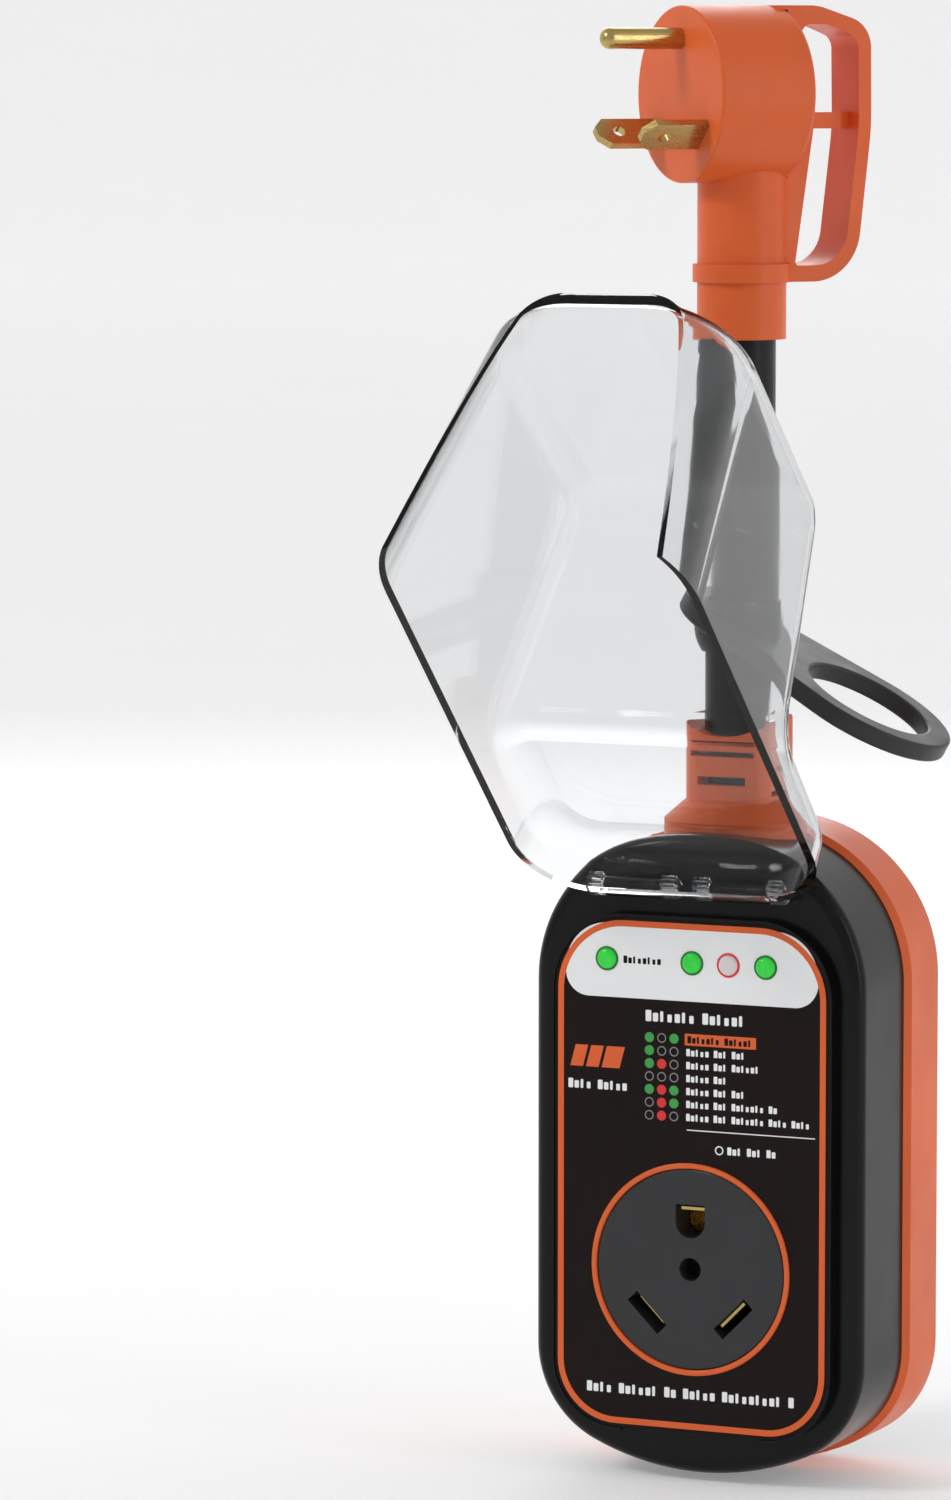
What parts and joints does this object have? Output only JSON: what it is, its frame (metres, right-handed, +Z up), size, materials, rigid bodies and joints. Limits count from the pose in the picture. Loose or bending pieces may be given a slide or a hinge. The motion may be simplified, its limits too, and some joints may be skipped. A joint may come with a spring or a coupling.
{
  "type": "surge protector plug",
  "caption": "Portable surge protector for a caravan supply: box with an outlet under a hinged clear hood, lit indicators, and a grab-handle plug on a short stiff cable.",
  "frame": {"origin": "centre of the back cover's flat outer face, level with the middle of the box's front face", "axes": "+Z up along the box and the cable, +Y out of the back, so the outlet faces -Y, +X to the right seen from the front"},
  "size_m": [0.0964, 0.1556, 0.3523],
  "materials": {
    "black_gloss": "glossy black shell",
    "orange_plastic": "satin orange moulding",
    "steel": "plated steel",
    "black_rubber": "satin black rubber",
    "label_black": "printed label",
    "strip_white": "white printed strip",
    "lens_green": "lit green lens",
    "lens_red": "unlit red lens",
    "board_green": "solder resist",
    "led_clear": "clear epoxy",
    "dark_grey_plastic": "fine satin moulding",
    "brass": "bright stamped brass",
    "varistor_blue": "epoxy coating",
    "capacitor_yellow": "moulded box",
    "terminal_green": "moulded block",
    "wire_green": "insulation",
    "wire_white": "insulation",
    "wire_black": "insulation",
    "clear_plastic": "clear moulding"
  },
  "bodies": {
    "protector": {"front_housing": "black_gloss", "mid_housing": "orange_plastic", "back_cover": "black_gloss", "housing_screws": "steel", "housing_seal": "black_rubber", "label_panel": "label_black", "indicator_window": "strip_white", "protected_lens": "lens_green", "left_circuit_lens": "lens_green", "middle_circuit_lens": "lens_red", "right_circuit_lens": "lens_green", "indicator_board": "board_green", "indicator_leds": "led_clear", "outlet_trim": "orange_plastic", "outlet_face": "dark_grey_plastic", "outlet_base": "dark_grey_plastic", "neutral_contact": "brass", "line_contact": "brass", "ground_contact": "brass", "outlet_screw": "steel", "circuit_board": "board_green", "varistors": "varistor_blue", "filter_capacitor": "capacitor_yellow", "thermal_fuse": "steel", "terminal_block": "terminal_green", "strain_relief": "orange_plastic", "cable_clamp": "dark_grey_plastic", "clamp_screws": "steel", "cable_jacket": "black_rubber", "ground_wire": "wire_green", "neutral_wire": "wire_white", "line_wire": "wire_black", "plug_body": "orange_plastic", "plug_face": "orange_plastic", "prong_carrier": "dark_grey_plastic", "neutral_blade": "brass", "line_blade": "brass", "ground_pin": "brass", "plug_handle": "orange_plastic", "hinge_pins": "steel"},
    "hood": {"hood": "clear_plastic"},
    "lock_bush": {"lock_bush": "black_rubber"},
    "lock_plate": {"lock_plate": "dark_grey_plastic"}
  },
  "joints": [
    {"name": "hood_hinge", "type": "hinge", "parent": "protector", "child": "hood", "pos_m": [0, -0.0525, 0.06415], "axis": [1, 0, 0], "range_deg": [0, 134]},
    {"name": "lock_slide", "type": "slide", "parent": "protector", "child": "lock_bush", "axis": [0, 0, 1], "range_m": [-0.01, 0.056]},
    {"name": "lock_swivel", "type": "hinge", "parent": "lock_bush", "child": "lock_plate", "pos_m": [0, -0.0217, 0.12475], "axis": [0, 0, 1], "range_deg": [0, 180]}
  ]
}
